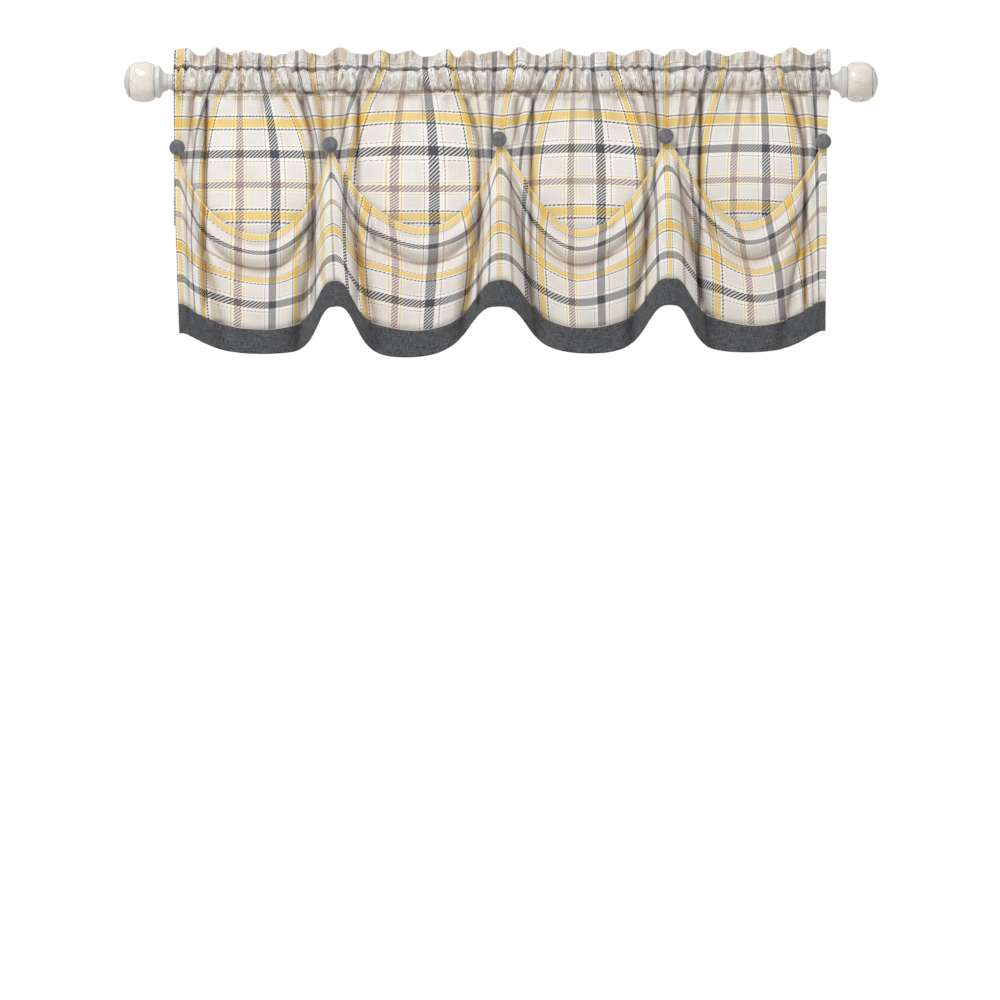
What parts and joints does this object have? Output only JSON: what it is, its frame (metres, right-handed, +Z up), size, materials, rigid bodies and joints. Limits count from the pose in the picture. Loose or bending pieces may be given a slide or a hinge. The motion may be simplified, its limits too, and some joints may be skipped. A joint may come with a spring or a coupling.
{
  "type": "window valance on a curtain rod",
  "caption": "Gathered plaid tuck-up window valance with swags lifted to covered buttons and a contrast hem band, on a rod with ball finials.",
  "frame": {"origin": "on the rod's axis, half way along it", "axes": "+X along the rod to the viewer's right, +Y from the front of the valance towards the wall, +Z up"},
  "size_m": [1.005, 0.0878, 0.4144],
  "materials": {
    "plaid_cloth": "cream slubbed linen-look weave with a woven plaid of yellow, charcoal and taupe stripes",
    "band_cloth": "slate grey slubbed linen-look plain weave",
    "button_cloth": "fine slate grey plain weave stretched over a domed button form",
    "rod_paint": "satin pale grey-white paint",
    "finial_ball": "glossy ivory crackle glaze with fine brown craze lines"
  },
  "bodies": {
    "root": {"valance_cloth": "plaid_cloth", "hem_band": "band_cloth", "button_1": "button_cloth", "button_2": "button_cloth", "button_3": "button_cloth", "button_4": "button_cloth", "button_5": "button_cloth", "rod": "rod_paint", "finial_cup_left": "rod_paint", "finial_cup_right": "rod_paint", "finial_ball_left": "finial_ball", "finial_ball_right": "finial_ball", "finial_cap_left": "rod_paint", "finial_cap_right": "rod_paint"}
  },
  "joints": []
}
